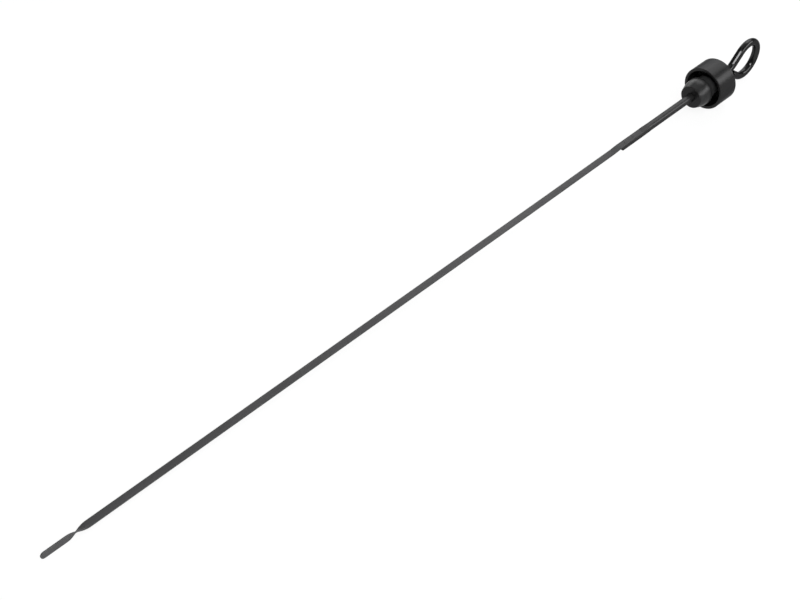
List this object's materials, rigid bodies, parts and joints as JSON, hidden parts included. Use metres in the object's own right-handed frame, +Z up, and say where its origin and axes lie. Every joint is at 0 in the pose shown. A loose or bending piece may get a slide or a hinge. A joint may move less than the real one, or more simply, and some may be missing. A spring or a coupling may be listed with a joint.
{
  "type": "engine oil dipstick",
  "caption": "Engine oil dipstick: a thin flat blade with a twisted tip, welded to a round rod that carries a stopper and a cup-shaped cap and ends in a finger ring.",
  "frame": {"origin": "middle of the bounding box, at the surface that the stick lies on", "axes": "+X from the blade's tip to the finger ring, +Z up; the stick lies on its tip and its cap's lip"},
  "size_m": [0.5686, 0.0284, 0.0299],
  "materials": {
    "blade_steel": "dark oiled spring steel, faint lengthwise grain",
    "rod_steel": "glossy black coating on steel",
    "cap_plastic": "smooth black, satin",
    "plug_rubber": "smooth black, satin"
  },
  "bodies": {
    "root": {"blade": "blade_steel", "handle_rod": "rod_steel", "cap": "cap_plastic", "plug": "plug_rubber"}
  },
  "joints": []
}
